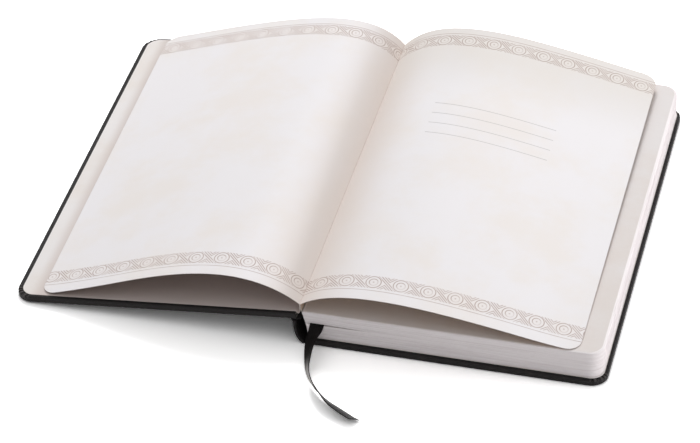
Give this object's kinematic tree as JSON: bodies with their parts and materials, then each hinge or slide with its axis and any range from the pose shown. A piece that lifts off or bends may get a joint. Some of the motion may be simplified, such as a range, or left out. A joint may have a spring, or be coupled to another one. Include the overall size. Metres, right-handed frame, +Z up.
{
  "type": "opened journal",
  "caption": "Hardcover journal lying open at its first leaves, with a leatherette case that opens on two joints, an arched flyleaf and title leaf, and a ribbon marker.",
  "frame": {"origin": "centre of the open book's footprint, on the table it lies on, without the ribbon", "axes": "+X from the turned front cover towards the pages' fore edge, +Y from tail to head along the spine, +Z up off the table"},
  "size_m": [0.272, 0.2671, 0.0352],
  "materials": {
    "pages": "uncoated cut page edges",
    "title_leaf": "uncoated, parchment tint, printed borders",
    "endpaper": "uncoated, parchment tint, printed borders",
    "spine_lining": "plain lining paper",
    "spine_card": "plain card",
    "grey_board": "dense grey board",
    "leatherette": "fine-grained black leatherette, satin",
    "ribbon": "black satin ribbon"
  },
  "bodies": {
    "pages": {"text_block": "pages", "title_leaf": "title_leaf", "spine_lining": "spine_lining", "spine_card": "spine_card", "spine_leatherette": "leatherette", "front_joint_leatherette": "leatherette", "back_joint_leatherette": "leatherette", "ribbon_marker": "ribbon"},
    "front_cover": {"front_board": "grey_board", "front_leatherette": "leatherette", "front_endpaper": "endpaper"},
    "back_cover": {"back_board": "grey_board", "back_leatherette": "leatherette", "back_pastedown": "endpaper"}
  },
  "joints": [
    {"name": "front_cover_hinge", "type": "hinge", "parent": "pages", "child": "front_cover", "pos_m": [-0.00042, 0, 0.01715], "axis": [0, 1, 0], "range_deg": [0, 185.8], "deforming": ["title_leaf", "front_endpaper", "front_joint_leatherette"]},
    {"name": "back_cover_hinge", "type": "hinge", "parent": "pages", "child": "back_cover", "pos_m": [0.00108, 0, 0.0002], "axis": [0, 1, 0], "range_deg": [0, 120], "deforming": ["back_joint_leatherette"]}
  ]
}
